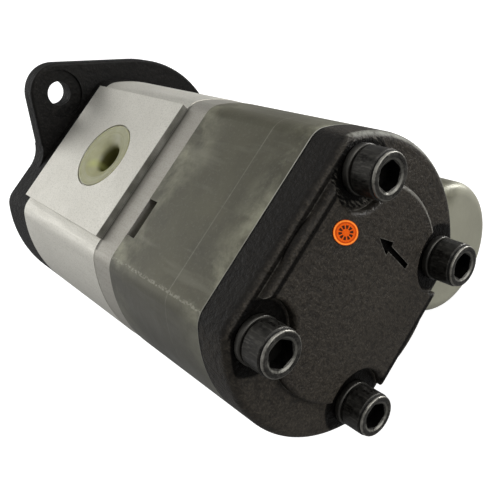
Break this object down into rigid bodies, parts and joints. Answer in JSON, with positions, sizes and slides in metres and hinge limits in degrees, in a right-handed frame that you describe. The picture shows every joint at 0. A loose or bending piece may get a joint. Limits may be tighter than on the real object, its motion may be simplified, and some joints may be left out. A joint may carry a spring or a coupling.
{
  "type": "hydraulic gear pump",
  "caption": "Tandem hydraulic gear pump with an eared mounting flange, a keyed drive shaft, stacked housings, a raised port pad and a bolted rear cover.",
  "frame": {"origin": "centre of the mounting pilot on the flange's mounting face", "axes": "+X out along the drive shaft, +Y from the drive gear to the driven gear, +Z to the outlet pad"},
  "size_m": [0.2303, 0.1268, 0.1544],
  "materials": {
    "black_cast": "satin black paint on a fine casting skin",
    "bare_aluminium": "satin, brushed",
    "grey_cast": "dull grey with stains",
    "black_steel": "black oxide",
    "ground_steel": "ground",
    "spring_steel": "blued",
    "black_rubber": "matte",
    "bronze": "satin",
    "plug_plastic": "translucent yellow-green",
    "orange_label": "satin print"
  },
  "bodies": {
    "casing": {"cap_screws": "black_steel", "cover_bushes": "bronze", "cover_joint_seal": "black_rubber", "cover_label": "orange_label", "dowel_pins": "ground_steel", "flange_joint_seal": "black_rubber", "front_block_bushes": "bronze", "front_block_seal": "black_rubber", "front_bushing_block": "bare_aluminium", "front_housing": "bare_aluminium", "front_joint_seal": "black_rubber", "front_wear_plate": "bronze", "inlet_gallery_seal": "black_rubber", "intermediate_housing": "grey_cast", "middle_bushes": "bronze", "middle_joint_seal": "black_rubber", "mounting_flange": "black_cast", "port_plug": "plug_plastic", "rear_block_bushes": "bronze", "rear_block_seal": "black_rubber", "rear_bushing_block": "bare_aluminium", "rear_cover": "black_cast", "rear_gear_housing": "grey_cast", "rear_wear_plate": "bronze", "screw_washers": "black_steel", "seal_retaining_ring": "spring_steel", "shaft_seal": "black_rubber"},
    "drive_shaft": {"drive_gear_shaft": "ground_steel", "shaft_key": "ground_steel"},
    "driven_gear": {"driven_gear_shaft": "ground_steel"},
    "coupling": {"coupling_sleeve": "ground_steel"},
    "rear_drive": {"rear_drive_gear": "ground_steel"},
    "rear_driven": {"rear_driven_gear": "ground_steel"}
  },
  "joints": [
    {"name": "drive_turn", "type": "hinge", "parent": "casing", "child": "drive_shaft", "pos_m": [0, 0, 0], "axis": [1, 0, 0], "continuous": true},
    {"name": "driven_turn", "type": "hinge", "parent": "casing", "child": "driven_gear", "pos_m": [-0.06085, 0.037, 0], "axis": [1, 0, 0], "continuous": true},
    {"name": "coupling_turn", "type": "hinge", "parent": "casing", "child": "coupling", "pos_m": [-0.115, 0, 0], "axis": [1, 0, 0], "continuous": true},
    {"name": "rear_drive_turn", "type": "hinge", "parent": "casing", "child": "rear_drive", "pos_m": [-0.15, 0, 0], "axis": [1, 0, 0], "continuous": true},
    {"name": "rear_driven_turn", "type": "hinge", "parent": "casing", "child": "rear_driven", "pos_m": [-0.15, 0.037, 0], "axis": [1, 0, 0], "continuous": true}
  ],
  "couplings": [
    {"joint": "driven_turn", "follows": "drive_turn", "ratio": -1},
    {"joint": "coupling_turn", "follows": "drive_turn", "ratio": 1},
    {"joint": "rear_drive_turn", "follows": "drive_turn", "ratio": 1},
    {"joint": "rear_driven_turn", "follows": "drive_turn", "ratio": -1}
  ]
}
